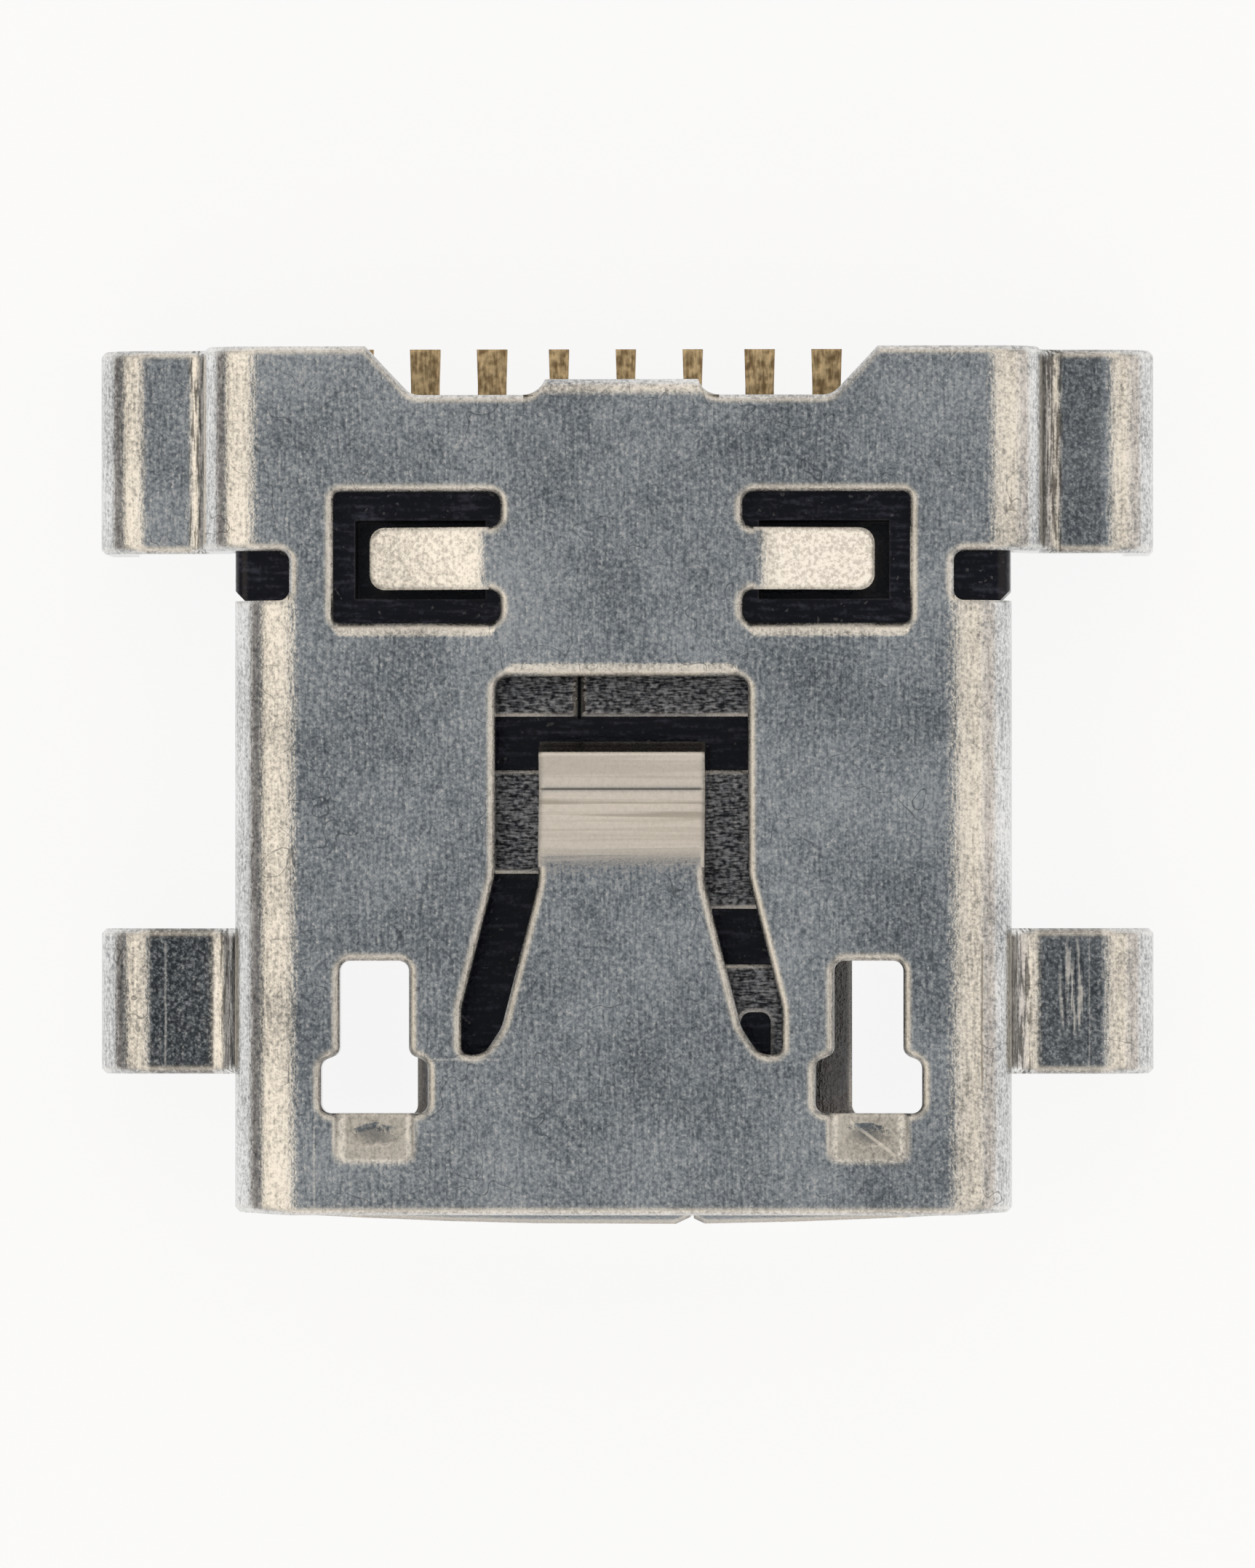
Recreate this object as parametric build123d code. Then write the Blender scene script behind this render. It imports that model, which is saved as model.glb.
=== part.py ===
from build123d import *
import os

# Micro USB socket for a circuit board, in millimetres.
# X runs across the mouth, Y from the mouth (-Y) to the solder tails (+Y), Z up from the leg tips.
# Depths are measured back from the top plate's front edge. Every piece is moved at the end so that
# the middle of the footprint, at the level of the leg tips, is the origin.

# Folded sheet and mouth
sheet = 0.30                 # thickness of the shell's metal
mouth_width = 6.90           # clear width between the walls
mouth_height = 1.85          # clear height between the two plates
narrow_width = 5.40          # clear width of the mouth's narrow side
wall_upright = 1.05          # upright part of each wall, from the top plate down
plug_depth = 5.30            # mouth to the housing's front wall
top_bend = 0.24              # inside radius between top plate and walls
low_bend = 0.25              # inside radius of the bends beside the lower plate
body_lift = 0.25             # lower plate above the leg tips
lip = 0.134                  # lower plate's edge in front of the top plate's, in the middle
lip_bow = 0.095              # how much less that is at the sides
edge_roll = 0.045            # bevel that the punch and the plating leave along the outer edges

# Outline of the top plate behind the mouth
wall_overlap = 0.62          # how far walls and lower plate run past the housing's front wall
notch_length = 0.48          # side notches between the walls and the strips of the rear legs
strip_length = 1.50          # from the notches to the rear edge in the middle
flange_length = 0.47         # how far the plate at the legs stands behind the middle
base_half = 2.03             # half width of the rear edge in the middle
flange_half = 2.47           # half width where the flanges begin
flange_round = 0.20          # rounding at the ends of the slanted edges
notch_set = 0.55             # inner ends of the side notches inside the walls' outer faces
notch_round = 0.10           # inner corners of the side notches

# Legs
board_level = 1.20           # underside of the legs' flats, which lie on the board
riser_out = 0.30             # rear legs' risers outside the walls
leg_run = 1.07               # from the risers to the legs' outer faces
riser_top_bend = 0.45        # outer radius at the top of the riser
riser_foot_bend = 0.18       # upper radius at the foot of the riser
rear_leg_bend = 0.45         # outer radius where a rear leg turns down
front_root_bend = 0.29       # upper radius where a front leg leaves the wall
front_leg_bend = 0.50        # outer radius where a front leg turns down
front_leg_start = 1.35       # front edge of the front legs
front_leg_width = 1.41

# Openings that the front legs leave in the walls and the lower plate
blank_front = 0.42           # in front of the leg
blank_back = 0.14            # behind the leg
blank_half = 2.12            # half width of the lower plate between them
blank_shift = 0.06           # how far both lie to the right
blank_round = 0.10

# Keyhole latch windows and the pressed ramps in front of them
latch_centre = 2.38          # off the middle, to each side
latch_start = 0.98           # front end
latch_wide = 1.03
latch_wide_length = 0.50
latch_narrow = 0.67
latch_shoulder_rise = 0.07   # depth of the slanted shoulder
latch_length = 1.47
latch_round = 0.10
ramp_length = 0.48
ramp_width = 0.74
ramp_fall = 0.13             # how far its rear edge is pressed in
ramp_round = 0.10

# Sprung arm and the slot around it
slot_set = 0.11              # rear edge of the slot in front of the housing's front wall
slot_length = 3.646
slot_straight = 1.91         # straight part at the rear
slot_half = 1.22             # half width of that part
slot_foot_length = 0.446     # from the slot's front to the end of the flare
slot_foot_half = 1.545       # half width at the foot
slot_foot_width = 0.22       # of the foot's front end
slot_corner = 0.134
arm_half = 0.80
arm_clearance = 0.74         # from the arm's tip to the end of the slot
arm_tip_run = 0.345          # from the crease to the tip
arm_dip_run = 0.605          # from the bend to the crease
arm_straight = 0.30          # before the bend, where the arm keeps its width
arm_root_half = 1.15         # half width where it leaves the plate
arm_root_set = 0.266         # from the slot's front to there
arm_dip = 0.25               # drop of the crease below the top plate
arm_lift = 0.14              # rise from the crease to the tip
arm_bend_round = 0.60
arm_crease_round = 0.10
flare_round = 0.50
root_round = 0.40
foot_inner_round = 0.20
foot_round = 0.08

# Retention tabs and their windows
window_set = 0.40            # behind the housing's front wall
window_length = 1.27
window_inner = 1.165
window_rim = 0.43            # metal between a window and the bend beside it
window_outer_round = 0.07
window_inner_round = 0.11
tab_set = 0.325              # behind the window's front edge
tab_width = 0.60
tab_tip = 2.435
tab_bend = 1.35              # where the tab begins to slope
tab_fall = 0.27              # drop of its tip
tab_round = 0.15
tab_bend_round = 0.45

# Stop tab behind the housing
stop_bend = 0.155            # outer radius of its bend at the rear edge
stop_half = 0.725
stop_drop = 1.02             # from the top plate's upper face to its lower end
stop_round = 0.10
stop_relief = 0.22           # rounding in the corners beside it

# Seam of the lower plate, locked by a dovetail
seam_shift = 0.605           # right of the middle
seam_gap = 0.03
seam_notch = 0.075           # depth of the V at the mouth
seam_notch_half = 0.16
dovetail_start = 2.50
dovetail_length = 1.20       # along the neck
dovetail_flare = 0.14        # how much its head widens at each end
dovetail_reach = 0.50
dovetail_round = 0.10

# Housing
fit_gap = 0.02               # between the housing and the metal round it
shoulder_set = 0.01          # shoulders inside the line of the walls
shoulder_chamfer = 0.10
shoulder_round = 0.13        # upper edges of the rear block
block_foot = 0.05            # rear block's underside above the lower plate's outer face
pocket_inner = 1.32
pocket_outer = 2.575         # outer wall of the retention pockets
pocket_front = 0.24          # pocket behind the window's front edge
pocket_back = 0.275          # pocket in front of the window's rear edge
pocket_depth = 0.45          # below the housing's upper face
core_depth = 0.45            # hollows in the underside that keep the walls even
core_width = 1.10
core_length = 1.05
core_count = 4
core_pitch = 1.55

# Tongue
tongue_half = 1.85
tongue_tip = 0.95
tongue_thickness = 0.65
plug_gap = 0.50              # between the top plate and the tongue
tongue_chamfer = 0.16
tongue_corner = 0.20

# Stiffener plate on the tongue
plate_thickness = 0.20
plate_half = 1.72
plate_set = 0.25             # front edge behind the tongue's tip
plate_anchor = 0.45          # length inside the housing
plate_corner = 0.20
plate_sink = 0.02            # plastic in the windows below the plate's face
cross_back = 0.49            # window right across the plate, in front of the housing's wall
cross_length = 0.52
cross_half = 1.42
spine_half = 0.60            # strip left in the middle
side_half = 1.60             # outer edge of the side windows
left_set = 0.25              # left window behind the plate's front edge
left_back = 1.00             # and in front of the cross window
right_back = 1.34            # right window in front of the cross window
right_length = 0.54
hole_inner = 1.13
hole_outer = 1.42
hole_set = 0.27              # small hole behind the plate's front edge
hole_length = 0.48
plate_window_round = 0.10
slit_place = -0.43           # fine slit behind the cross window
slit_width = 0.03
slit_length = 0.44

# Terminals
pitch = 0.65
terminal_count = 9
contact_count = 5            # the ones in the middle that reach the tongue
terminal_thickness = 0.15
contact_width = 0.40
power_tail = 0.275           # tail width of all but the three in the middle
signal_tail = 0.175
tail_flare = 0.010           # how much a tail widens to each side at its end
tail_flare_length = 0.35
tail_out = 0.015             # tails end behind the rear edge of the legs
signal_tip = 0.50            # front ends of the contacts behind the tongue's tip
power_tip = 0.25
neck_set = 0.45              # where a contact narrows, behind the housing's front wall
neck_taper = 0.20
hook_rise = 0.22             # front end turned up into the tongue
hook_bend = 0.10
anchor_set = 0.75            # front ends of the terminals that stay in the block
anchor_rise = 0.25
joggle = 0.20                # how much higher a terminal lies inside the block
joggle_run = 0.23
joggle_back = 0.02           # lower end of the rear joggle behind the block
joggle_front = 0.20          # lower end of the front joggle behind the housing's front wall
barb = 0.05                  # tooth on each side that grips the block
barb_set = 0.80              # tooth in front of the block's rear face
barb_length = 0.22
channel_gap = 0.02           # between the terminals and the plastic

# Levels and lines that follow from these sizes
floor = body_lift + sheet
roof = floor + mouth_height
top = roof + sheet
wall_inside = mouth_width / 2
wall_outside = wall_inside + sheet
wing_top = board_level + sheet
notch_half = wall_outside - notch_set
riser_half = wall_outside + riser_out
leg_reach = riser_half + leg_run
lean = (lip - lip_bow) / (top - body_lift)
wall_depth = plug_depth + wall_overlap
strip_front = wall_depth + notch_length
base_depth = strip_front + strip_length
flange_depth = base_depth + flange_length
stop_reach = base_depth + stop_bend
block_rear = stop_reach - sheet
block_top = roof - fit_gap
block_bottom = body_lift + block_foot
tail_end = flange_depth + tail_out
middle_depth = (tail_end - lip) / 2
slot_rear = plug_depth - slot_set
slot_front = slot_rear - slot_length
slot_foot_inner = slot_foot_half - slot_foot_width
arm_tip = slot_rear - arm_clearance
arm_crease = arm_tip - arm_tip_run
arm_bend_start = arm_crease - arm_dip_run
window_start = plug_depth + window_set
window_end = window_start + window_length
tab_start = window_start + tab_set
tongue_top = roof - plug_gap
tongue_foot = tongue_top - tongue_thickness
plate_front = tongue_tip + plate_set
plate_rear = plug_depth + plate_anchor
cross_end = plug_depth - cross_back
cross_start = cross_end - cross_length
wall_fold = wall_inside - top_bend
leg_fold = riser_half - riser_top_bend
window_outer = wall_fold - window_rim
tab_fold = window_inner + window_inner_round
arm_fold = arm_bend_start - arm_bend_round / 4
clear = 1.0                  # how far cutting solids run past what they cut
hair = 0.001                 # closer than this counts as the same place


def along_y(outline, start, end):
    """Draw an outline of X and Z out from one depth to another."""
    plane = Plane(origin=(0, start, 0), x_dir=(1, 0, 0), z_dir=(0, -1, 0))
    return extrude(plane * outline, amount=end - start, dir=(0, 1, 0))


def along_x(outline, start, end):
    """Draw an outline of Y and Z out from one side to another."""
    plane = Plane(origin=(start, 0, 0), x_dir=(0, 1, 0), z_dir=(1, 0, 0))
    return extrude(plane * outline, amount=end - start)


def upward(outline, low, high):
    """Draw an outline of X and Y out from one height to another."""
    return extrude(Pos(0, 0, low) * outline, amount=high - low)


def block(x0, x1, y0, y1, z0, z1):
    """A square-cornered block between two corners."""
    return Pos((x0 + x1) / 2, (y0 + y1) / 2, (z0 + z1) / 2) * Box(x1 - x0, y1 - y0, z1 - z0)


def outline(points, radii):
    """A closed outline with each corner rounded to its own radius."""
    return make_face(FilletPolyline(*points, radius=radii, close=True))


def rectangle(x0, x1, y0, y1, radius):
    """A rectangle between two corners, all four rounded alike."""
    return outline([(x0, y0), (x1, y0), (x1, y1), (x0, y1)], [radius] * 4)


def headings(points, closed=False):
    """Unit direction of each straight run of a line."""
    ends = points[1:] + points[:1] if closed else points[1:]
    return [(Vector(*b) - Vector(*a)).normalized() for a, b in zip(points, ends)]


def moved_right(points, distance, closed=False):
    """Corners of the line that runs beside another, to the right of it."""
    runs = headings(points, closed)
    before = runs[-1:] + runs if closed else runs[:1] + runs
    after = runs if closed else runs + runs[-1:]
    corners = []
    for (x, y), a, b in zip(points, before, after):
        share = distance / (1 + a.dot(b))
        corners.append((x + share * (a.Y + b.Y), y - share * (a.X + b.X)))
    return corners


def folded(points, radii, thickness=sheet):
    """The section of a folded strip that lies to the right of a line; a radius of 0 leaves a sharp fold."""
    runs = headings(points)
    far = []
    for radius, a, b in zip(radii, runs, runs[1:]):
        outwards = thickness if a.cross(b).Z > 0 else -thickness
        far.append(radius + outwards if radius else 0)
    corners = points + moved_right(points, thickness)[::-1]
    return outline(corners, [0] + radii + [0, 0] + far[::-1] + [0])


def both_sides(piece):
    """A piece and its mirror image across the middle."""
    return piece + mirror(piece, about=Plane.YZ)


def mouth_outline(inset):
    """The mouth's outline, or the same one a little inside it or outside it."""
    knee = roof - wall_upright
    half = [(narrow_width / 2, floor), (wall_inside, knee), (wall_inside, roof)]
    points = [(-x, z) for x, z in half] + [(x, z) for x, z in reversed(half)]
    bends = [radius - inset for radius in (low_bend, low_bend, top_bend)]
    return outline(moved_right(points, inset, closed=True), bends + bends[::-1])


def mouth_plane():
    """All that lies in front of the top plate, whose front edge leans out a little."""
    points = [(-2 * clear, -clear), (-lean * (top + clear), -clear)]
    points += [(lean * clear, top + clear), (-2 * clear, top + clear)]
    return along_x(make_face(Polyline(*points, close=True)), -leg_reach, leg_reach)


def mouth_bow():
    """The same in front of the walls and the lower plate, whose edge bows out towards the middle."""
    radius = (wall_fold ** 2 + lip_bow ** 2) / (2 * lip_bow)
    front = rectangle(-leg_reach, leg_reach, -2 * clear, clear, 0)
    front -= Pos(0, radius - lip_bow) * Circle(radius)
    height = top + 2 * clear
    return extrude(Pos(0, -lean * (top + clear), -clear) * front, amount=height, dir=(0, lean, 1))


def rear_gap():
    """What the rear edge of the top plate leaves free over the tails, but for the stop tab's root."""
    points = [(-base_half, base_depth), (base_half, base_depth), (flange_half, flange_depth)]
    points += [(flange_half, flange_depth + clear), (-flange_half, flange_depth + clear)]
    points += [(-flange_half, flange_depth)]
    radii = [flange_round, flange_round, 0, 0, 0, 0]
    return upward(outline(points, radii), roof - clear / 2, top + clear) - stop_root()


def stop_root():
    """Plan of the stop tab, with rounded corners where it leaves the rear edge."""
    wide = stop_half + stop_relief
    root = block(-wide, wide, base_depth - clear, base_depth + stop_relief, 0, top + clear)
    root -= both_sides(Pos(wide, base_depth + stop_relief, 0) * Cylinder(stop_relief, 4 * top))
    return root + block(-stop_half, stop_half, base_depth - clear, base_depth + clear, 0, top + clear)


def side_notches():
    """Cuts between the walls and the strips of the rear legs."""
    corner = rectangle(notch_half, leg_reach + clear, wall_depth, strip_front, notch_round)
    return both_sides(upward(corner, 0, top + clear))


def top_plate():
    """The flat part of the top plate with its cut-outs, up to the lines where it folds."""
    plate = block(-wall_fold, wall_fold, -clear, wall_depth + notch_round, roof, top)
    plate += block(-leg_fold, leg_fold, wall_depth + notch_round, flange_depth, roof, top)
    plate -= mouth_plane()
    plate -= side_notches()
    plate -= rear_gap()
    plate -= tab_windows()
    plate -= latch_windows()
    plate -= arm_slot()
    upper = [edge for edge in plate.edges() if edge.bounding_box().min.Z > top - hair]
    plate = chamfer([edge for edge in upper if not on_fold(edge)], edge_roll)
    past = block(-stop_half - stop_relief, stop_half + stop_relief, base_depth, flange_depth, 0, top + clear)
    return plate - past


def on_fold(edge):
    """Whether an edge of the top plate is a line where it folds, not a cut edge."""
    box = edge.bounding_box()
    if box.size.X < hair:
        return min(abs(abs(box.min.X) - fold) for fold in (wall_fold, leg_fold, tab_fold)) < hair
    return box.size.Y < hair and abs(box.min.Y - arm_fold) < hair


def faces_front(face):
    return face.normal_at().Y < -0.9


def faces_along(face):
    return abs(face.normal_at().Y) > 0.9


def rolled_ends(piece, inside, is_end):
    """Bevel the outer edges at the ends of a folded piece; the point inside tells outer from inner."""
    rims = []
    for end in piece.faces():
        if not is_end(end):
            continue
        for edge in end.edges():
            spot = edge.position_at(0.5)
            for side in piece.faces():
                if not is_end(side) and edge in side.edges():
                    if side.normal_at(spot).dot(spot - inside) > 0:
                        rims.append(edge)
    return chamfer(rims, edge_roll)


def shell_walls():
    """The walls with their bends and the lower plate with its seam."""
    tube = along_y(mouth_outline(-sheet) - mouth_outline(0), -clear, wall_depth + notch_round)
    tube -= mouth_bow()
    tube -= block(-leg_reach, leg_reach, wall_depth, wall_depth + clear, 0, roof - top_bend)
    tube = rolled_ends(tube, Vector(0, wall_depth / 2, (floor + roof) / 2), faces_front)
    tube -= side_notches()
    tube -= leg_blanks()
    tube -= seam()
    return tube - block(-wall_fold, wall_fold, -clear, wall_depth + clear, floor + clear, top + clear)


def rear_legs():
    """Strips that run out from the top plate, down to the board and on to the leg tips."""
    points = [(leg_fold - clear, top), (riser_half, top), (riser_half, wing_top)]
    points += [(leg_reach, wing_top), (leg_reach, 0)]
    section = folded(points, [riser_top_bend, riser_foot_bend, rear_leg_bend])
    strip = along_y(section, strip_front, flange_depth)
    strip = rolled_ends(strip, Vector(0, flange_depth, 0), faces_along)
    return both_sides(strip - block(0, leg_fold, 0, flange_depth + clear, 0, top + clear))


def front_legs():
    """Legs cut from the walls and the lower plate, turned out and down."""
    root = wing_top + front_root_bend
    points = [(wall_outside, root + sheet), (wall_outside, wing_top), (leg_reach, wing_top), (leg_reach, 0)]
    section = folded(points, [front_root_bend, front_leg_bend])
    strip = along_y(section, front_leg_start, front_leg_start + front_leg_width)
    strip = rolled_ends(strip, Vector(0, front_leg_start, 0), faces_along)
    return both_sides(strip - block(0, leg_reach, 0, wall_depth, root, top))


def leg_blanks():
    """Openings that the front legs were cut from."""
    start = front_leg_start - blank_front
    end = front_leg_start + front_leg_width + blank_back
    opening = rectangle(blank_half, wall_outside + clear, start, end, blank_round)
    return Pos(blank_shift, 0, 0) * both_sides(upward(opening, -clear, wing_top + front_root_bend))


def latch_windows():
    wide = latch_wide / 2
    narrow = latch_narrow / 2
    shoulder = latch_start + latch_wide_length
    end = latch_start + latch_length
    right = [(wide, latch_start), (wide, shoulder), (narrow, shoulder + latch_shoulder_rise), (narrow, end)]
    points = right + [(-x, y) for x, y in reversed(right)]
    keyhole = Pos(latch_centre, 0) * outline(points, [latch_round] * len(points))
    return both_sides(upward(keyhole, roof - clear / 2, top + clear))


def latch_ramps():
    """Cuts and pressed-in flaps of the ramps in front of the latch windows."""
    x0 = latch_centre - ramp_width / 2
    x1 = latch_centre + ramp_width / 2
    start = latch_start - ramp_length
    plan = upward(rectangle(x0, x1, start, latch_start + clear, ramp_round), 0, top + clear)
    plan &= block(x0, x1, 0, latch_start, 0, top + clear)
    slope = ramp_fall / ramp_length
    high = top + slope * clear
    low = top - ramp_fall - slope * clear
    side = [(start - clear, high), (latch_start + clear, low)]
    side += [(latch_start + clear, low - sheet), (start - clear, high - sheet)]
    flap = along_x(make_face(Polyline(*side, close=True)), x0, x1) & plan
    cut = plan & block(x0, x1, 0, latch_start, roof - clear / 2, top + clear)
    return both_sides(cut), both_sides(flap)


def arm_slot():
    """The slot around the sprung arm, with the part of the plate that the bent arm takes the place of."""
    half = [(arm_half, arm_tip), (arm_half, arm_bend_start - arm_straight)]
    half += [(arm_root_half, slot_front + arm_root_set), (slot_foot_inner, slot_front)]
    half += [(slot_foot_half, slot_front), (slot_foot_half, slot_front + slot_foot_length)]
    half += [(slot_half, slot_rear - slot_straight), (slot_half, slot_rear)]
    radii = [0, flare_round, root_round, foot_inner_round, foot_round, flare_round, flare_round]
    radii += [slot_corner]
    points = half + [(-x, y) for x, y in reversed(half)]
    slot = upward(outline(points, radii + radii[::-1]), roof - clear / 2, top + clear)
    return slot + block(-arm_half, arm_half, arm_fold, arm_tip, roof - clear / 2, top + clear)


def sprung_arm():
    """The arm's bent end: down to the crease that presses on the plug, then up to the tip."""
    low = top - arm_dip
    points = [(arm_fold - clear, top), (arm_bend_start, top), (arm_crease, low), (arm_tip, low + arm_lift)]
    strip = along_x(folded(points, [arm_bend_round, arm_crease_round]), -arm_half, arm_half)
    return strip - block(-arm_half, arm_half, 0, arm_fold, 0, top + clear)


def tab_windows():
    """C-shaped cuts that free the retention tabs, and the part of each tab that slopes."""
    tab_end = tab_start + tab_width
    points = [(window_inner, window_start), (window_outer, window_start)]
    points += [(window_outer, window_end), (window_inner, window_end)]
    points += [(window_inner, tab_end), (tab_tip, tab_end), (tab_tip, tab_start), (window_inner, tab_start)]
    inner = window_inner_round
    outer = window_outer_round
    radii = [inner, outer, outer, inner, inner, 0, 0, inner]
    cut = upward(outline(points, radii), roof - clear / 2, top + clear)
    cut += block(tab_fold, tab_tip, tab_start, tab_end, roof - clear / 2, top + clear)
    return both_sides(cut)


def retention_tabs():
    """Tabs that slope outwards and down into the housing's pockets."""
    points = [(tab_fold - clear, top), (tab_bend, top), (tab_tip, top - tab_fall)]
    strip = along_y(folded(points, [tab_bend_round]), tab_start, tab_start + tab_width)
    tip = [edge for edge in strip.edges() if edge.length < 1.01 * sheet and edge.center().X > tab_bend]
    tab = fillet(tip, tab_round)
    return both_sides(tab - block(-clear, tab_fold, 0, wall_depth + clear, 0, top + clear))


def stop_tab():
    """Tab bent down behind the housing."""
    low = top - stop_drop
    points = [(base_depth - sheet, roof), (base_depth - sheet, top), (stop_reach, top), (stop_reach, low)]
    points += [(block_rear, low), (block_rear, roof)]
    section = outline(points, [0, 0, stop_bend, 0, 0, 0])
    face = rectangle(-stop_half, stop_half, low, top + clear, stop_round)
    tab = along_x(section, -stop_half, stop_half) & along_y(face, 0, stop_reach + clear)
    wide = stop_half + stop_relief
    web = along_x(section, -wide, wide) & block(-wide, wide, 0, flange_depth, roof, top) & stop_root()
    return tab + web - block(-wide, wide, 0, base_depth, roof, top)


def seam():
    """The joint in the lower plate: a narrow gap with a dovetail, and a V at the mouth."""
    neck_end = dovetail_start + dovetail_length
    head = seam_shift + dovetail_reach
    points = [(seam_shift, -clear), (seam_shift, dovetail_start)]
    points += [(head, dovetail_start - dovetail_flare), (head, neck_end + dovetail_flare)]
    points += [(seam_shift, neck_end), (seam_shift, wall_depth + clear)]
    gap = upward(folded(points, [dovetail_round] * 4, seam_gap), -clear, floor + low_bend)
    notch = [(seam_shift + x, -lip - hair) for x in (-seam_notch_half, seam_notch_half)]
    notch += [(seam_shift, seam_notch - lip)]
    return gap + upward(make_face(Polyline(*notch, close=True)), -clear, floor + low_bend)


def housing():
    """The black moulding: rear block with its shoulders, retention pockets and the tongue."""
    body = along_y(mouth_outline(fit_gap), plug_depth, wall_depth)
    body += rear_block()
    body += tongue()
    body -= retention_pockets()
    body -= underside_hollows()
    body -= stiffener_outline() - stiffener_windows()
    sunk = block(-wall_inside, wall_inside, 0, plug_depth, tongue_top - plate_sink, top)
    body -= stiffener_windows() & sunk
    body -= stiffener_slit()
    for index in range(terminal_count):
        body -= terminal(index, channel_gap)
    return body


def rear_block():
    """The part behind the walls, whose shoulders show in the side notches."""
    half = wall_outside - shoulder_set
    knee = roof - wall_upright
    right = [(narrow_width / 2, block_bottom), (half, knee), (half, block_top)]
    points = [(-x, z) for x, z in right] + [(x, z) for x, z in reversed(right)]
    radii = [low_bend, low_bend, shoulder_round]
    rear = along_y(outline(points, radii + radii[::-1]), wall_depth, block_rear)
    corner = [(half - shoulder_chamfer, wall_depth), (half, wall_depth + shoulder_chamfer)]
    corner += [(half + clear, wall_depth + shoulder_chamfer), (half + clear, wall_depth - clear)]
    corner += [(half - shoulder_chamfer, wall_depth - clear)]
    return rear - both_sides(upward(make_face(Polyline(*corner, close=True)), 0, top))


def tongue():
    """The blade that the plug slides over, bevelled at its front edge."""
    tip = tongue_tip
    bevel = tip + tongue_chamfer
    points = [(tip, tongue_foot + tongue_chamfer), (bevel, tongue_foot), (wall_depth, tongue_foot)]
    points += [(wall_depth, tongue_top), (bevel, tongue_top), (tip, tongue_top - tongue_chamfer)]
    blade = along_x(make_face(Polyline(*points, close=True)), -tongue_half, tongue_half)
    plan = rectangle(-tongue_half, tongue_half, tip, wall_depth + clear, tongue_corner)
    return blade & upward(plan, 0, top)


def retention_pockets():
    start = window_start + pocket_front
    end = window_end - pocket_back
    return both_sides(block(pocket_inner, pocket_outer, start, end, block_top - pocket_depth, top))


def underside_hollows():
    """Moulded hollows in the underside of the rear block."""
    start = (wall_depth + block_rear - core_length) / 2
    hollow = block(-core_width / 2, core_width / 2, start, start + core_length, 0, block_bottom + core_depth)
    first = -core_pitch * (core_count - 1) / 2
    return Part() + [Pos(first + index * core_pitch, 0, 0) * hollow for index in range(core_count)]


def stiffener_outline():
    plan = rectangle(-plate_half, plate_half, plate_front, plate_rear, plate_corner)
    return upward(plan, tongue_top - plate_thickness, tongue_top)


def stiffener_windows():
    """Windows in the stiffener that the tongue's plastic fills."""
    right_end = cross_start - right_back
    hole_start = plate_front + hole_set
    corner = plate_window_round
    windows = rectangle(-cross_half, cross_half, cross_start, cross_end, corner)
    windows += rectangle(-side_half, -spine_half, plate_front + left_set, cross_start - left_back, corner)
    windows += rectangle(spine_half, side_half, right_end - right_length, right_end, corner)
    windows += rectangle(hole_inner, hole_outer, hole_start, hole_start + hole_length, corner)
    return upward(windows, tongue_top - plate_thickness, tongue_top)


def stiffener_slit():
    x0 = slit_place - slit_width / 2
    x1 = slit_place + slit_width / 2
    start = cross_end - fit_gap
    return block(x0, x1, start, cross_end + slit_length, tongue_top - plate_thickness, tongue_top)


def tongue_plate():
    """The stamped stiffener plate on the tongue."""
    return stiffener_outline() - stiffener_windows() - stiffener_slit()


def terminal(index, gap=0):
    """One stamped terminal, or with a gap the channel that holds it."""
    place = index - (terminal_count - 1) / 2
    inner = (contact_count - 1) / 2
    reaches_plug = abs(place) <= inner
    signal = abs(place) < inner
    tail = (signal_tail if signal else power_tail) / 2
    high = board_level + joggle
    rear = block_rear + joggle_back
    side = [(tail_end, board_level), (rear, board_level), (rear - joggle_run, high)]
    if reaches_plug:
        tip = tongue_tip + (signal_tip if signal else power_tip)
        neck = plug_depth + neck_set
        low = plug_depth + joggle_front
        front = [(contact_width / 2, tip), (contact_width / 2, neck), (tail, neck + neck_taper)]
        side += [(low + joggle_run, high), (low, board_level), (tip, board_level)]
        side += [(tip, board_level + terminal_thickness + hook_rise)]
    else:
        tip = plug_depth + anchor_set
        front = [(tail, tip)]
        side += [(tip, high), (tip, high + terminal_thickness + anchor_rise)]
    tooth = block_rear - barb_set
    right = front + [(tail, tooth), (tail + barb, tooth + barb_length), (tail, tooth + barb_length)]
    right += [(tail, tail_end - tail_flare_length), (tail + tail_flare, tail_end)]
    plan = make_face(Polyline(*right, *[(-x, y) for x, y in reversed(right)], close=True))
    bends = [0] * (len(side) - 3) + [hook_bend + terminal_thickness]
    section = folded(side, bends, terminal_thickness)
    if gap:
        plan = offset(plan, gap, kind=Kind.INTERSECTION)
        section = offset(section, gap, kind=Kind.INTERSECTION)
    strip = along_x(section, -clear, clear) & upward(plan, 0, top)
    return Pos(place * pitch, 0, 0) * strip


def shell():
    """The whole folded shell, one sheet of metal."""
    ramp_cut, ramp_flap = latch_ramps()
    body = top_plate() - ramp_cut + ramp_flap
    body += shell_walls()
    body += rear_legs()
    body += front_legs()
    body += stop_tab()
    body += sprung_arm()
    body += retention_tabs()
    return body


parts = {"shell": shell(), "housing": housing(), "tongue_plate": tongue_plate()}
for index in range(terminal_count):
    parts["terminal_" + str(index + 1)] = terminal(index)

os.makedirs("parts", exist_ok=True)
for name, shape in parts.items():
    export_step(Pos(0, -middle_depth, 0) * shape, "parts/" + name + ".step")
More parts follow.
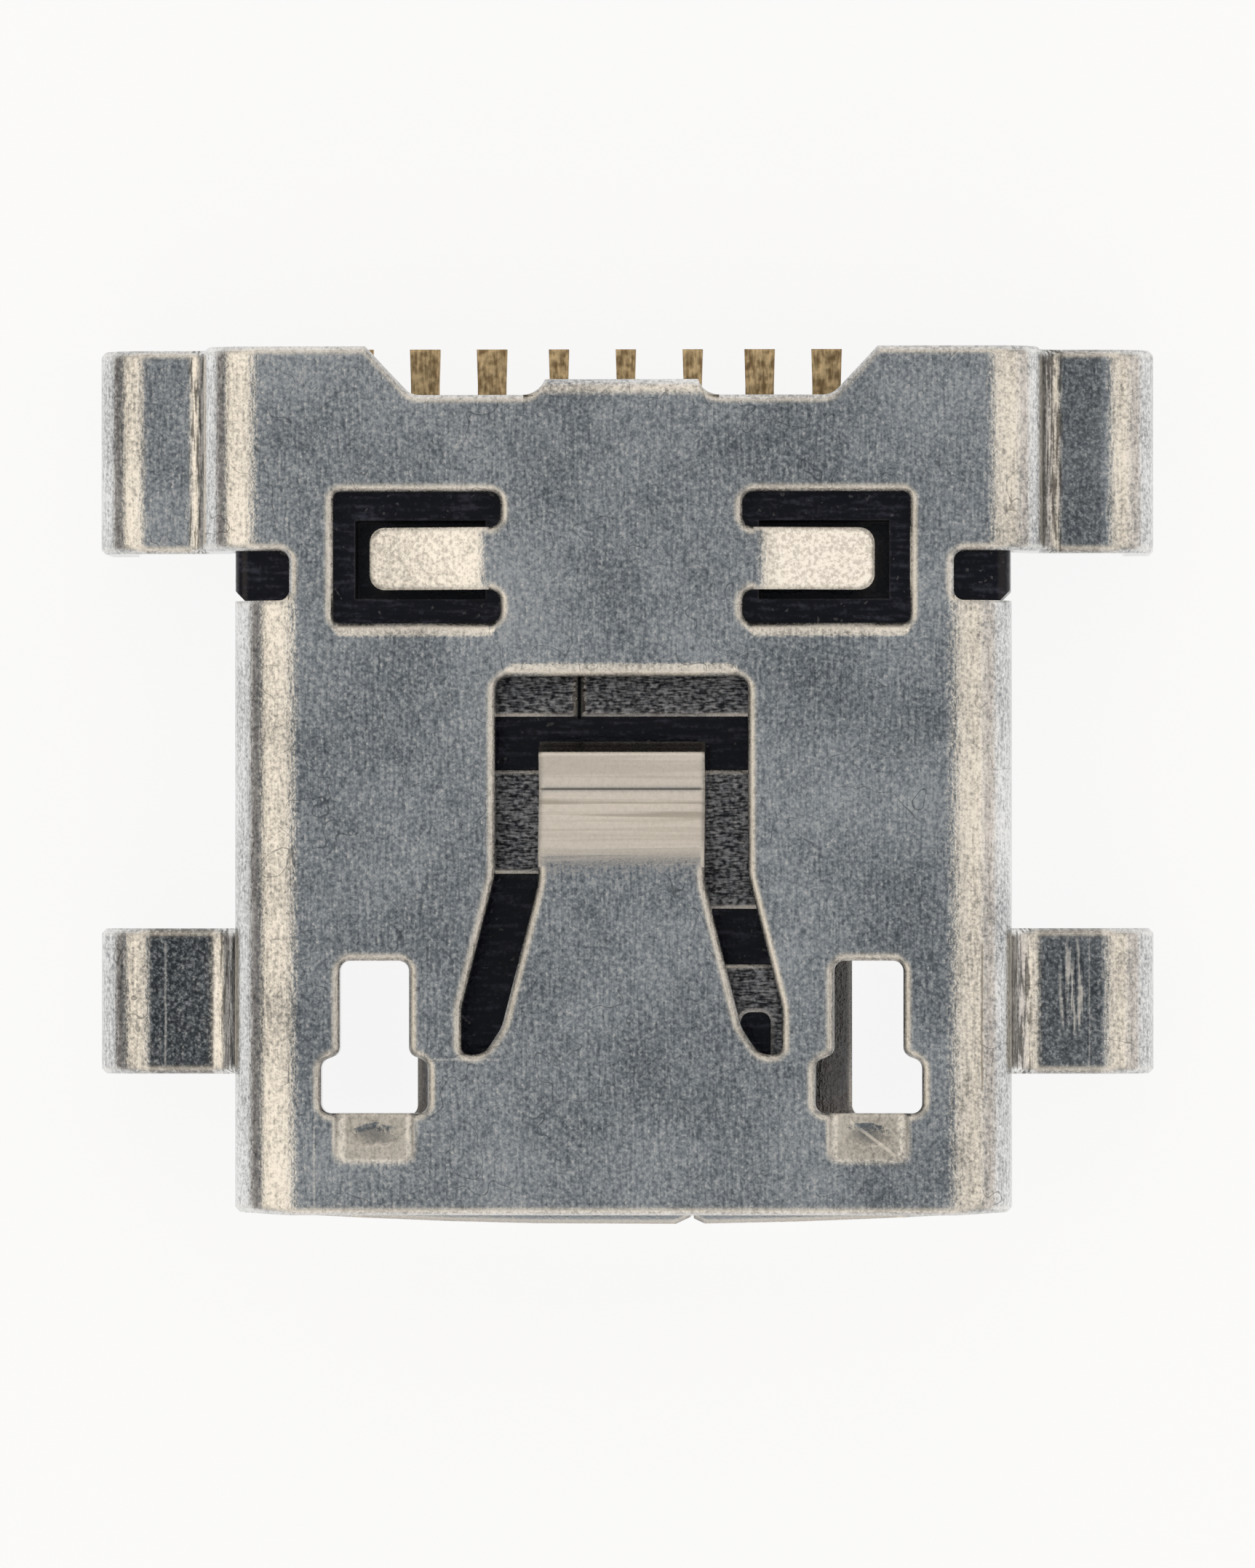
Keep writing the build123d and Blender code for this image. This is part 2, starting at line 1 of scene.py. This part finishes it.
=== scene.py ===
import math

import bpy
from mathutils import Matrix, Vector

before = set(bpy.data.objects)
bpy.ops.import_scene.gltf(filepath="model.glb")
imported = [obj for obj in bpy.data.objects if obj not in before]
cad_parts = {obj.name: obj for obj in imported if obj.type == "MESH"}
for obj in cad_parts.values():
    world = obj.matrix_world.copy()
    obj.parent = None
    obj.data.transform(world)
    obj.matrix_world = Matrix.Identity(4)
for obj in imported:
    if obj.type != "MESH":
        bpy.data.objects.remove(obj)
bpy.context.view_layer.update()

MM = 0.001

# Places on the shell, in millimetres. X runs across the mouth and Z up from the leg tips. Depths
# are measured back from the top plate's front edge, and a pair is the two ends of a stretch.
MOUTH = -4.1255                 # the top plate's front edge on the Y axis
TOP = 2.70                      # upper face of the top plate
INNER_FACE = (0.50, 0.60)       # levels just round the upper face of the lower plate
INNER_HALF = 3.2                # where that face ends at its bends, to each side
RAMP = 2.37                     # middle of the pressed ramps, to each side
RAMP_HALF = 0.27
RAMP_DEPTHS = (0.56, 0.94)
RAMP_DENT = 0.77                # depth of the worn dents
LEG_FLATS = (4.02, 4.60)        # flats of the legs, to each side
LEG_DEPTHS = (1.40, 2.70)       # front legs
RISER_FEET = (3.79, 3.92)       # feet of the front legs' risers, to each side
REAR_FEET_SET = 0.30            # how much farther out the rear ones are
ROLLS = (3.09, 3.33)            # where the flat of the top plate rolls into its bends
REAR_ROLLS_SET = 0.39           # how much farther out it does beside the rear legs
REAR_DEPTH = 6.0                # where the strips of the rear legs begin
ARM_HALF = 0.83
ARM_DEPTHS = (3.65, 5.0)        # smooth part of the sprung arm
ARM_WORKED = (3.86, 4.08)       # where the lines across it are deepest
CREASE = 4.105
TABS = (1.56, 2.50)             # sloping faces of the retention tabs, to each side
TAB_DEPTHS = (6.05, 6.60)
TAB_WINDOWS = (1.3, 2.7)        # the rolled edges in front of their windows, to each side

# Tones of the nickel, from the darkest to the brightest
# painted shade for the concave feet of the risers
FOOT_PAINTED_SHADE = (0.06, 0.055, 0.05)
SCRAPED_SHADE = (0.08, 0.08, 0.085)
DENT_SHADE = (0.08, 0.095, 0.12)
# painted shade for the crease near the arm's tip
CREASE_PAINTED_SHADE = (0.10, 0.095, 0.09)
HAIR_SHADE = (0.10, 0.105, 0.11)
# painted shade for the lower plate's upper face, under the top plate
INNER_PAINTED_SHADE = (0.20, 0.15, 0.12)
SEAM_BROWN = (0.22, 0.19, 0.15)
SUNK_GREY = (0.26, 0.26, 0.25)
LINE_GREY = (0.30, 0.285, 0.26)
ARM_GREY = (0.63, 0.615, 0.61)
# painted highlight for the rounded punched edges
RIM_PAINTED_HIGHLIGHT = (0.96, 0.94, 0.89)
# painted reflection for the concave feet of the risers
FOOT_PAINTED_REFLECTION = (0.97, 0.95, 0.91)
SCRIBED_WHITE = (0.97, 0.96, 0.94)
# painted highlight for the top plate's front edge
LIP_PAINTED_HIGHLIGHT = (0.97, 0.965, 0.95)

# Studio
WARM_LIGHT = (1.0, 0.83, 0.62)
PALE_LIGHT = (1.0, 0.90, 0.80)
LIGHT_AWAY = 0.25               # metres from the part to each lamp
FLOOR_HALF = 1.0                # metres
FLOOR_GLOW = 0.88               # how far the floor is seen as plain white; the rest takes shadow


class Reading:
    """One output of a node. Arithmetic on it adds Math nodes to the same tree."""

    def __init__(self, nodes, socket):
        self.nodes = nodes
        self.socket = socket

    def __add__(self, other):
        return self.nodes.math("ADD", self, other)

    def __sub__(self, other):
        return self.nodes.math("SUBTRACT", self, other)

    def __rsub__(self, other):
        return self.nodes.math("SUBTRACT", other, self)

    def __mul__(self, other):
        return self.nodes.math("MULTIPLY", self, other)

    def __abs__(self):
        return self.nodes.math("ABSOLUTE", self)

    __radd__ = __add__
    __rmul__ = __mul__


class Nodes:
    """A node tree and the way that nodes are added to it."""

    def __init__(self, tree):
        self.tree = tree

    def node(self, kind, inputs=None, output=0, stops=(), **settings):
        """Add a node: its settings first, then the values or links of its sockets."""
        made = self.tree.nodes.new("ShaderNode" + kind)
        for name, value in settings.items():
            setattr(made, name, value)
        for index, (position, colour) in enumerate(stops):
            while len(made.color_ramp.elements) <= index:
                made.color_ramp.elements.new(position)
            made.color_ramp.elements[index].position = position
            made.color_ramp.elements[index].color = (*colour, 1)
        for name, value in (inputs or {}).items():
            if isinstance(value, Reading):
                self.tree.links.new(value.socket, made.inputs[name])
            else:
                made.inputs[name].default_value = value
        return Reading(self, made.outputs[output])

    def math(self, operation, *values):
        return self.node("Math", dict(enumerate(values)), operation=operation)

    def parts(self, vector):
        """The X, Y and Z of a vector."""
        split = self.node("SeparateXYZ", {"Vector": vector})
        return [Reading(self, socket) for socket in split.socket.node.outputs]


class Finish(Nodes):
    """A material with one Principled shader and the nodes that vary it over a surface."""

    def __init__(self, name, **fixed):
        self.material = bpy.data.materials.new(name)
        self.material.use_nodes = True
        super().__init__(self.material.node_tree)
        self.shader = self.tree.nodes["Principled BSDF"]
        for socket, value in fixed.items():
            self.shader.inputs[socket.replace("_", " ")].default_value = value
        here = self.node("TexCoord", output="Object")
        self.place = self.node("VectorMath", {"Vector": here, "Scale": 1 / MM}, operation="SCALE")
        self.x, self.y, self.z = self.parts(self.place)
        sockets = {"Vector": self.place, "Rotation": (0.7, 0.5, 0.9)}
        self.askew = self.node("VectorRotate", sockets, rotation_type="EULER_XYZ")

    @property
    def depth(self):
        """How far behind the top plate's front edge."""
        return self.y - MOUTH

    def step(self, value, low, high):
        """Rise smoothly from 0 at low to 1 at high, or fall where low is the larger."""
        sockets = {"Value": value, "From Min": low, "From Max": high}
        return self.node("MapRange", sockets, interpolation_type="SMOOTHSTEP")

    def noise(self, scale, detail=2.0, stretch=None, shift=0.0, roughness=0.5):
        """Noise with that many features to the millimetre, set askew unless it is stretched."""
        place, stretch = (self.place, stretch) if stretch else (self.askew, (1, 1, 1))
        sockets = {0: place, 1: tuple(scale * s for s in stretch), 2: (shift, shift, shift)}
        at = self.node("VectorMath", sockets, operation="MULTIPLY_ADD")
        sockets = {"Vector": at, "Scale": 1.0, "Detail": detail, "Roughness": roughness}
        return self.node("TexNoise", sockets)

    def mix(self, share, first, second):
        """Blend two colours."""
        first, second = [(*c, 1) if isinstance(c, tuple) else c for c in (first, second)]
        return self.node("Mix", {0: share, 6: first, 7: second}, output=2, data_type="RGBA")

    def paint(self, colour, *layers):
        """Lay further colours over one, each by its own share."""
        for share, laid in layers:
            colour = self.mix(share, colour, laid)
        return colour

    def rounded(self, radius):
        """The normal as if the edges were rounded, and how far it leans from the true one."""
        soft = self.node("Bevel", {"Radius": radius * MM}, samples=4)
        plain = self.node("NewGeometry", output="Normal")
        same = self.node("VectorMath", {0: soft, 1: plain}, output="Value", operation="DOT_PRODUCT")
        return soft, 1 - same

    def finish(self, colour, roughness, height, depth, normal):
        """Feed the shader; the height is raised into a bump of that depth in millimetres."""
        sockets = {"Height": height, "Strength": 1.0, "Distance": depth * MM, "Normal": normal}
        bump = self.node("Bump", sockets)
        for name, value in {"Base Color": colour, "Roughness": roughness, "Normal": bump}.items():
            self.tree.links.new(value.socket, self.shader.inputs[name])
        return self.material


def between(f, value, low, high, soft=0.04):
    """1 where a value lies between two others, fading to 0 at both ends."""
    return f.step(value, low - soft, low) * f.step(value, high + soft, high)


def on_top(f):
    """1 on the top plate and 0 on the flats of the legs."""
    return f.step(f.z, TOP - 0.4, TOP - 0.3)


def upper_sheet(f):
    """1 on the top plate and what is bent out of it, and 0 on the lower plate."""
    return f.step(f.z, TOP - 1.2, TOP - 1.0)


def on_right(f):
    """Rise from 0 on the left side to 1 on the right side."""
    return f.step(f.x, -1.0, 1.0)


def oval(x, y):
    """The square of how far from the middle of an oval, with its half axes as 1."""
    return x * x + y * y


def unsteady(f):
    """How far scored lines stray to either side, in millimetres."""
    return f.noise(6.0, detail=1.0, shift=3.0) * 0.02 - 0.01


def scored(f, across, along, *lines):
    """Thin lines: place across, half width, the two ends along, and how strong."""
    return sum(
        f.step(abs(across - place), width, width * 0.3) * between(f, along, low, high) * strength
        for place, width, low, high, strength in lines
    )


def bright_marks(f):
    """Scribed lines, the line that the press left across the slots' feet, and scratches."""
    depth, stray = f.depth, unsteady(f)
    across, back = f.x + stray, depth + stray
    slanted = back + (f.x - 2.42) * 0.75
    scribed = (-2.956, 0.016, 0.06, 1.20, 0.7), (3.013, 0.014, 0.08, 1.20, 0.4)
    press_line = (1.50, 0.020, -1.80, -1.20, 0.7), (1.55, 0.014, -1.2, 1.65, 0.3)
    scratch = (0.74, 0.028, 2.22, 2.62, 1.0)
    on_plate = scored(f, across, depth, *scribed) + scored(f, back, f.x, *press_line)
    on_plate = on_plate + scored(f, slanted, f.x, scratch)
    left_leg = (-4.468, 0.016, 1.45, 2.62, 1.0)
    right_leg = (4.499, 0.012, *LEG_DEPTHS, 0.7), (4.653, 0.012, *LEG_DEPTHS, 0.5)
    on_legs = scored(f, across, depth, left_leg, *right_leg)
    above = on_top(f)
    return f.step(on_plate * above + on_legs * (1 - above), 0.0, 1.0)


def seam_line(f):
    """The line that the forming of the right front leg left in the bend above it."""
    line = scored(f, f.x + unsteady(f), f.depth, (3.47, 0.014, 1.22, 2.60, 1.0))
    return line * on_top(f)


def pressed(f):
    """The sunk faces of the two ramps, and the dents that a plug's latches have worn in them."""
    across, depth = abs(f.x) - RAMP, f.depth
    face = between(f, across, -RAMP_HALF, RAMP_HALF) * between(f, depth, *RAMP_DEPTHS)
    spot = oval(across * 4.0, (depth - RAMP_DENT) * 8.0)
    ragged = f.noise(7.0, detail=1.0, shift=11.0) * 0.9
    above = upper_sheet(f)
    return face * above, f.step(spot + ragged, 1.45, 0.30) * above


def scuffed(f):
    """Bright and dark scrapes on the flat of the right front leg."""
    patch = f.step(oval((f.x - 4.33) * 7.0, (f.y + 1.94) * 1.9), 1.2, 0.4)
    streaks = f.noise(1.0, detail=3.0, stretch=(26, 1.6, 26), shift=14.0)
    return patch * f.step(streaks, 0.46, 0.60), patch * f.step(streaks, 0.46, 0.34)


def leg_flats_shade(f):
    """The flats of the legs, with painted shade for the dark room that they mirror, the front ones
    most.
    """
    flats = between(f, abs(f.x), *LEG_FLATS)
    front, right = f.step(f.y, 0.0, -0.5), on_right(f)
    return flats * (front * (1 - right * 0.3) * 0.8 + (1 - front) * right * 0.45)


def hair_lines(f):
    """Fine curved scratches from handling, here and there."""
    winding = f.noise(1.5, detail=2.0, shift=31.0)
    sparse = f.step(f.noise(1.1, detail=2.0, shift=37.0), 0.52, 0.58)
    return f.step(abs(winding - 0.5), 0.0045, 0.001) * sparse


def concave_feet_shading(f):
    """Rough dark and bright streaks along the feet of the legs' risers: painted shade and painted
    reflection of the concave bends there.
    """
    behind = f.step(f.y, 0.0, 0.4)
    feet = between(f, abs(f.x) - behind * REAR_FEET_SET, *RISER_FEET)
    streaks = f.noise(1.0, detail=3.0, stretch=(34, 3.0, 34), shift=21.0)
    return feet * f.step(streaks, 0.49, 0.41), feet * f.step(streaks, 0.54, 0.61)


def folds(f):
    """The faint roll that leads from the flats of the top plate into its bends."""
    behind = f.step(f.y, MOUTH + REAR_DEPTH - 0.1, MOUTH + REAR_DEPTH + 0.1)
    return f.step(abs(f.x) - behind * REAR_ROLLS_SET, *ROLLS)


def rolled_edges(f):
    """Where the punch rolled the plate over: in front of the tab windows and behind the arm."""
    depth, across = f.depth, abs(f.x)
    windows = f.step(depth, 5.55, 5.73) * f.step(depth, 5.95, 5.85)
    windows = windows * between(f, across, *TAB_WINDOWS, soft=0.1)
    slot = f.step(depth, 5.34, 5.17) * f.step(depth, 4.9, 5.0) * f.step(across, 1.16, 1.02)
    return (windows + slot) * upper_sheet(f)


def drawn_arm(f, mottle):
    """The smooth part of the sprung arm, the lines across it and a line of painted shade along the
    crease near its tip.
    """
    depth = f.depth
    arm = f.step(abs(f.x), ARM_HALF + 0.01, ARM_HALF - 0.01)
    arm = arm * between(f, depth + mottle * 0.4, *ARM_DEPTHS, soft=0.25) * upper_sheet(f)
    lines = f.noise(1.0, detail=2.0, stretch=(0.4, 14, 14), shift=17.0)
    worked = 0.5 + between(f, depth, *ARM_WORKED, soft=0.08) * 0.85
    crease = f.step(abs(depth - CREASE), 0.016, 0.006) * arm
    return arm, f.step(lines, 0.60, 0.40) * worked, crease


def tabs(f):
    """The sloping faces of the two retention tabs, where a painted highlight is laid, brightest on
    the right where the right lamp falls.
    """
    faces = between(f, abs(f.x), *TABS, soft=0.24) * between(f, f.depth, *TAB_DEPTHS)
    return faces * (0.30 + on_right(f) * 0.65)


def inner_floor_shade(f):
    """The upper face of the lower plate, with painted shade that makes it darker and browner than
    the metal outside, as the top plate shadows it.
    """
    face = between(f, f.z, *INNER_FACE, soft=0.03)
    return face * f.step(abs(f.x), INNER_HALF + 0.1, INNER_HALF) * f.step(f.depth, 0.1, 0.7)


def lip_highlight(f):
    """The top plate's front edge and whatever stands before it, where a painted highlight is laid.
    """
    return f.step(f.depth, 0.03, -0.02)


def nickel():
    """Dull nickel plating: rolled grain, mottled, with a painted highlight at the punched edges."""
    f = Finish("nickel", Metallic=1.0)
    soft, lean = f.rounded(0.08)
    rim = f.step(lean, 0.0, 0.12)
    mottle = f.noise(25.0, detail=2.0, roughness=0.6)
    clouds = f.noise(0.8, detail=3.0, shift=4.0)
    grain = f.noise(1.0, detail=2.0, stretch=(40, 3.8, 40), shift=9.0)
    fine = f.noise(50.0, detail=1.0, shift=2.0)
    marks, (sunk, dents), (arm, lines, crease) = bright_marks(f), pressed(f), drawn_arm(f, mottle)
    (bright, dark), (black, sharp) = scuffed(f), concave_feet_shading(f)
    plain = 1 - arm * 0.65

    tone = mottle * 0.5 + grain * 0.28 + clouds * 0.36 + fine * 0.2
    sheet = f.mix(f.step(tone, 0.41, 0.84), (0.16, 0.17, 0.18), (0.87, 0.87, 0.86))
    # painted glint for the tabs' faces
    glint = f.mix(f.step(mottle, 0.36, 0.60), (0.66, 0.65, 0.64), (1.0, 1.0, 1.0))
    pits = f.step(mottle * 0.7 + fine * 0.3, 0.42, 0.70)
    # painted shade for the flats of the legs, mottled with random pits
    flats_painted_dark = f.mix(pits, (0.03, 0.032, 0.035), (0.46, 0.47, 0.47))
    colour = f.paint(
        sheet,
        (hair_lines(f) * plain * 0.6, HAIR_SHADE),
        (arm * 0.85, ARM_GREY),
        (arm * lines * 0.5, LINE_GREY),
        # painted shade along the crease near the arm's tip
        (crease * 0.85, CREASE_PAINTED_SHADE),
        # painted highlight on the tabs' faces, brighter on the right side
        (tabs(f), glint),
        # painted shade on the flats of the legs, darker where they mirror the dark room
        (leg_flats_shade(f), flats_painted_dark),
        # painted shade on the lower plate's upper face, under the top plate
        (inner_floor_shade(f) * 0.7, INNER_PAINTED_SHADE),
        (dark * 0.8, SCRAPED_SHADE),
        (sunk * 0.5, SUNK_GREY),
        (dents * 0.65, DENT_SHADE),
        # painted highlight: the light that the rounded punched edges catch, laid into the colour
        (rim * 0.8, RIM_PAINTED_HIGHLIGHT),
        # painted highlight along the top plate's rolled front edge and the lip below it
        (lip_highlight(f) * 0.8, LIP_PAINTED_HIGHLIGHT),
        (seam_line(f) * 0.7, SEAM_BROWN),
        # painted shade and painted reflection in the concave bends at the feet of the risers
        (black * 0.7, FOOT_PAINTED_SHADE),
        (sharp * 0.45, FOOT_PAINTED_REFLECTION),
        (marks * 0.4 + bright * 0.5, SCRIBED_WHITE),
    )

    speckle = f.step(mottle * 0.5 + fine * 0.25 + grain * 0.25, 0.36, 0.74)
    roughness = 0.10 + speckle * plain * 0.16 + arm * 0.12 + clouds * 0.06
    roughness = roughness + marks * 0.10 + bright * 0.2 + rim * 0.08
    height = (mottle * 0.5 + grain * 0.3 + fine * 0.3) * plain - arm * lines * 0.4
    height = height - dents * 5.0 - folds(f) * 4.2 - rolled_edges(f) * 7.0
    return f.finish(colour, roughness, height, 0.0040, soft)


def black_plastic():
    """Black moulding with a faint blue cast, glossy, with fine flow marks and lighter edges."""
    f = Finish("black_plastic", Metallic=0.0, Specular_IOR_Level=0.30)
    soft, lean = f.rounded(0.03)
    rim = f.step(lean, 0.01, 0.12)
    flow = f.noise(1.0, detail=4.0, stretch=(3.0, 18, 18))
    fine = f.noise(24.0, detail=2.0, shift=3.0)
    specks = f.step(f.noise(14.0, detail=2.0, shift=7.0), 0.67, 0.72)
    streaks = f.step(flow * 0.65 + fine * 0.35, 0.48, 0.68)
    colour = f.paint(
        f.mix(streaks, (0.001, 0.0015, 0.008), (0.034, 0.038, 0.064)),
        (specks * 0.30, (0.20, 0.21, 0.24)),
        (rim * 0.5, (0.05, 0.055, 0.075)),
    )
    roughness = 0.16 + flow * 0.18 + specks * 0.3
    return f.finish(colour, roughness, flow * 0.6 + fine * 0.4, 0.007, soft)


def stiffener_steel():
    """Bare steel, dark and scratched across the tongue, with a painted highlight at the edges of
    its windows.
    """
    f = Finish("stiffener_steel", Metallic=1.0)
    soft, lean = f.rounded(0.07)
    rim = f.step(lean, 0.002, 0.06)
    brushed = f.noise(1.0, detail=3.0, stretch=(11, 52, 52), shift=5.0)
    mottle = f.noise(24.0, detail=3.0, shift=1.0)
    ragged = (mottle - 0.5) * 0.12
    slit = f.step(abs(f.x + 0.43 + ragged), 0.07, 0.03) * f.step(f.y, 0.6, 0.7)
    tone = f.step(brushed * 0.65 + mottle * 0.5, 0.44, 0.80)
    colour = f.paint(
        f.mix(tone, (0.03, 0.03, 0.034), (0.52, 0.51, 0.52)),
        # painted highlight on the rounded edges of the windows
        (rim * 0.9, (0.95, 0.93, 0.90)),
        (slit * 0.8, (0.01, 0.01, 0.012)),
    )
    roughness = 0.16 + mottle * 0.22
    return f.finish(colour, roughness, brushed * 0.8 + mottle * 0.4 - slit, 0.004, soft)


def old_gold():
    """Thin gold on the terminals, browned and streaked by the dip that tinned them."""
    f = Finish("old_gold", Metallic=1.0)
    soft, lean = f.rounded(0.03)
    rim = f.step(lean, 0.01, 0.15)
    drawn = f.noise(1.0, detail=3.0, stretch=(34, 6, 34), shift=6.0)
    stain = f.noise(12.0, detail=3.0, shift=8.0)
    tone = f.step(stain * 0.5 + drawn * 0.5, 0.36, 0.66)
    colour = f.paint(
        f.mix(tone, (0.30, 0.20, 0.10), (0.94, 0.72, 0.42)),
        (rim * 0.5, (0.45, 0.36, 0.24)),
    )
    roughness = 0.24 + stain * 0.20
    return f.finish(colour, roughness, drawn * 0.6 + stain * 0.6, 0.005, soft)


def dress(node, material):
    """Give a CAD piece its finish."""
    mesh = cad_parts[node].data
    for index in range(len(mesh.materials)):
        mesh.materials[index] = material


def softbox(name, around, up, radiance, colour, size):
    """A square studio light, aimed at the socket from one side and that far up, in degrees."""
    light = bpy.data.lights.new(name, "AREA")
    light.shape = "SQUARE"
    light.size = size
    light.color = colour
    light.energy = radiance * math.pi * size * size
    lamp = bpy.data.objects.new(name, light)
    a, e = math.radians(around), math.radians(up)
    towards = Vector((math.cos(a) * math.cos(e), math.sin(a) * math.cos(e), math.sin(e)))
    lamp.location = towards * LIGHT_AWAY
    lamp.rotation_euler = towards.to_track_quat("Z", "Y").to_euler()
    bpy.context.scene.collection.objects.link(lamp)


def white_floor():
    """A plain floor that shows white, but for a light shadow."""
    mesh = bpy.data.meshes.new("floor")
    half = FLOOR_HALF
    corners = [(-half, -half, 0), (half, -half, 0), (half, half, 0), (-half, half, 0)]
    mesh.from_pydata(corners, [], [(0, 1, 2, 3)])
    floor = bpy.data.objects.new("floor", mesh)
    floor.location.z = -0.002 * MM
    bpy.context.scene.collection.objects.link(floor)
    f = Finish("floor", Base_Color=(0.97, 0.97, 0.97, 1), Roughness=0.8)
    seen = f.node("LightPath", output="Is Camera Ray")
    for ray in ("Is Glossy Ray", "Is Transmission Ray"):
        seen = f.math("MAXIMUM", seen, f.node("LightPath", output=ray))
    glow = f.node("Emission", {"Color": (1, 1, 1, 1), "Strength": 1.0})
    plain = Reading(f, f.shader.outputs[0])
    both = f.node("MixShader", {0: seen * FLOOR_GLOW, 1: plain, 2: glow})
    f.tree.links.new(both.socket, f.tree.nodes["Material Output"].inputs["Surface"])
    mesh.materials.append(f.material)


def studio():
    """A room that is darkest and bluest overhead, with a warm light on every side."""
    world = bpy.data.worlds.new("studio")
    world.use_nodes = True
    sky = Nodes(world.node_tree)
    height = sky.parts(sky.node("TexCoord", output="Generated"))[2]
    stops = [
        (0.0, (0.36, 0.32, 0.29)),
        (0.3, (0.26, 0.245, 0.235)),
        (0.6, (0.26, 0.28, 0.29)),
        (1.0, (0.26, 0.29, 0.32)),
    ]
    colour = sky.node("ValToRGB", {"Fac": height}, stops=stops)
    background = sky.tree.nodes["Background"]
    sky.tree.links.new(colour.socket, background.inputs["Color"])
    background.inputs["Strength"].default_value = 1.0
    bpy.context.scene.world = world
    softbox("left_light", 180, 54, 0.92, WARM_LIGHT, 0.192)
    softbox("right_light", 0, 54, 0.74, WARM_LIGHT, 0.192)
    softbox("low_right_light", 0, 12, 0.50, PALE_LIGHT, 0.233)
    softbox("front_light", 270, 50, 0.60, WARM_LIGHT, 0.233)
    softbox("back_light", 90, 50, 0.64, WARM_LIGHT, 0.233)
    softbox("low_front_light", 270, 10, 0.50, PALE_LIGHT, 0.233)
    softbox("low_back_light", 90, 10, 0.50, PALE_LIGHT, 0.233)


def camera():
    """The photograph's camera, nearly straight above, a little to the right and to the front."""
    eye = bpy.data.cameras.new("camera")
    eye.lens = 345.9
    eye.sensor_width = 36.0
    eye.clip_start = 0.01
    eye.clip_end = 5.0
    holder = bpy.data.objects.new("camera", eye)
    holder.location = Vector((4.9575, -1.0970, 147.613)) * MM
    holder.rotation_euler = [math.radians(angle) for angle in (0.443, 1.935, -0.016)]
    bpy.context.scene.collection.objects.link(holder)
    bpy.context.scene.camera = holder


bpy.context.scene.view_settings.view_transform = "Standard"
dress("shell", nickel())
dress("housing", black_plastic())
dress("tongue_plate", stiffener_steel())
gold = old_gold()
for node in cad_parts:
    if node.startswith("terminal_"):
        dress(node, gold)
white_floor()
studio()
camera()
